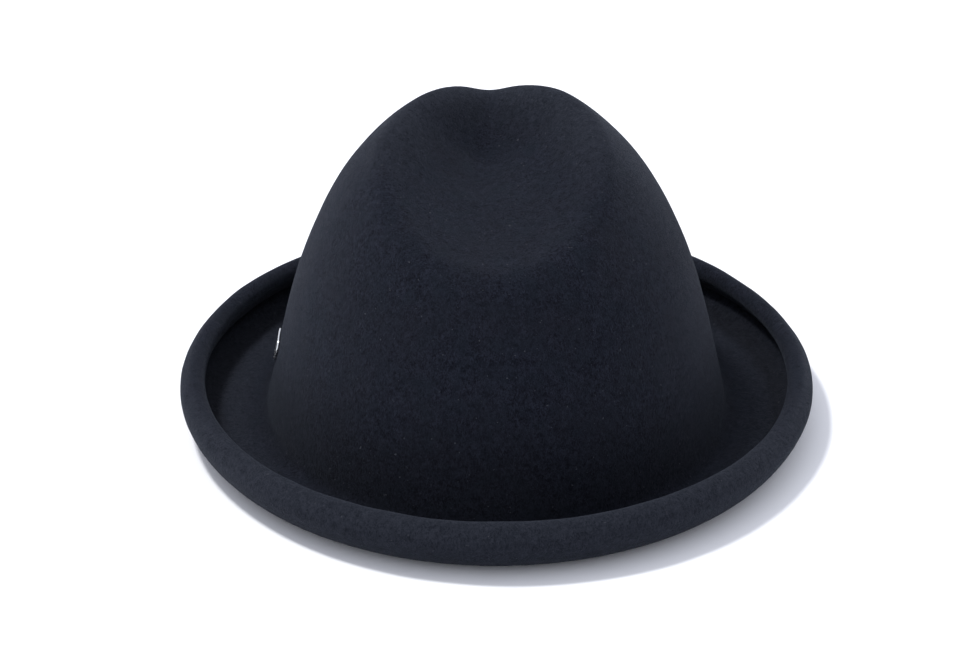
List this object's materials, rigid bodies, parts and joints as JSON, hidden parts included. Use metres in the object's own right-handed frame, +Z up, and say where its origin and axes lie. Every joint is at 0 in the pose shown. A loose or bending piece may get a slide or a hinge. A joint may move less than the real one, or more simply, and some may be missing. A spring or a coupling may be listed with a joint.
{
  "type": "bowler hat",
  "caption": "Felt hat with a tall creased crown and a rolled-up brim, lined inside, with a leather sweatband that fits round the head.",
  "frame": {"origin": "on the surface that the brim rests on, at the middle of the crown's oval", "axes": "+Z up from the brim to the crown; the front of the hat, where the crease slopes down, faces -Y; the badge is on the -X side"},
  "size_m": [0.2506, 0.2866, 0.1231],
  "materials": {
    "felt": "wool felt, dense short nap, very dark navy",
    "satin": "woven satin lining",
    "sweatband_leather": "smooth fine-grained leather, semi-matt",
    "tape": "woven grosgrain ribbon and tape",
    "reed": "extruded plastic reed",
    "thread": "spun polyester thread",
    "label": "woven label cloth, blank",
    "badge_metal": "polished plated metal",
    "fixing_metal": "plain steel fixings"
  },
  "bodies": {
    "hat": {"felt_body": "felt", "lining_side": "satin", "lining_tip": "satin", "lining_seam_cord": "satin", "sweatband": "sweatband_leather", "sweatband_reed": "reed", "reed_tape": "tape", "sweatband_stitching": "thread", "rear_seam_tape": "tape", "bow_loop_left": "tape", "bow_loop_right": "tape", "bow_knot": "tape", "maker_label": "label", "size_label": "label", "badge_plate": "badge_metal", "badge_back_plate": "fixing_metal", "badge_clip_rear": "fixing_metal", "badge_clip_front": "fixing_metal"},
    "care_label": {"care_label": "label"}
  },
  "joints": [
    {"name": "care_label_hinge", "type": "hinge", "parent": "hat", "child": "care_label", "pos_m": [0, 0.0897, 0.052], "axis": [-1, 0, 0], "range_deg": [-6, 75]}
  ]
}
